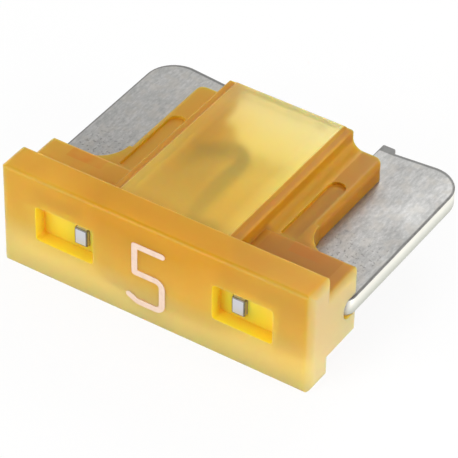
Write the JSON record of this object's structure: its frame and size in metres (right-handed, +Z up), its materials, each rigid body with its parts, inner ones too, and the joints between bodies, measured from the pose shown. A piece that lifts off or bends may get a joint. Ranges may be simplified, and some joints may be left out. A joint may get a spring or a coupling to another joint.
{
  "type": "automotive blade fuse",
  "caption": "Low-profile plug-in automotive blade fuse: translucent amber moulding over a stamped metal strip with flat blades, test tabs and a printed rating",
  "frame": {"origin": "middle of the bottom of the part's box, on the surface that the fuse lies on", "axes": "+X across the width, +Y from the head's front face towards the blade tips, +Z up through the thickness"},
  "size_m": [0.011, 0.0088, 0.0036],
  "materials": {
    "amber_plastic": "clear amber moulding, glossy",
    "plated_metal": "plated zinc alloy, matt with fine pitting",
    "white_ink": "printed ink"
  },
  "bodies": {
    "root": {"housing": "amber_plastic", "fuse_element": "plated_metal", "rating_number": "white_ink"}
  },
  "joints": []
}
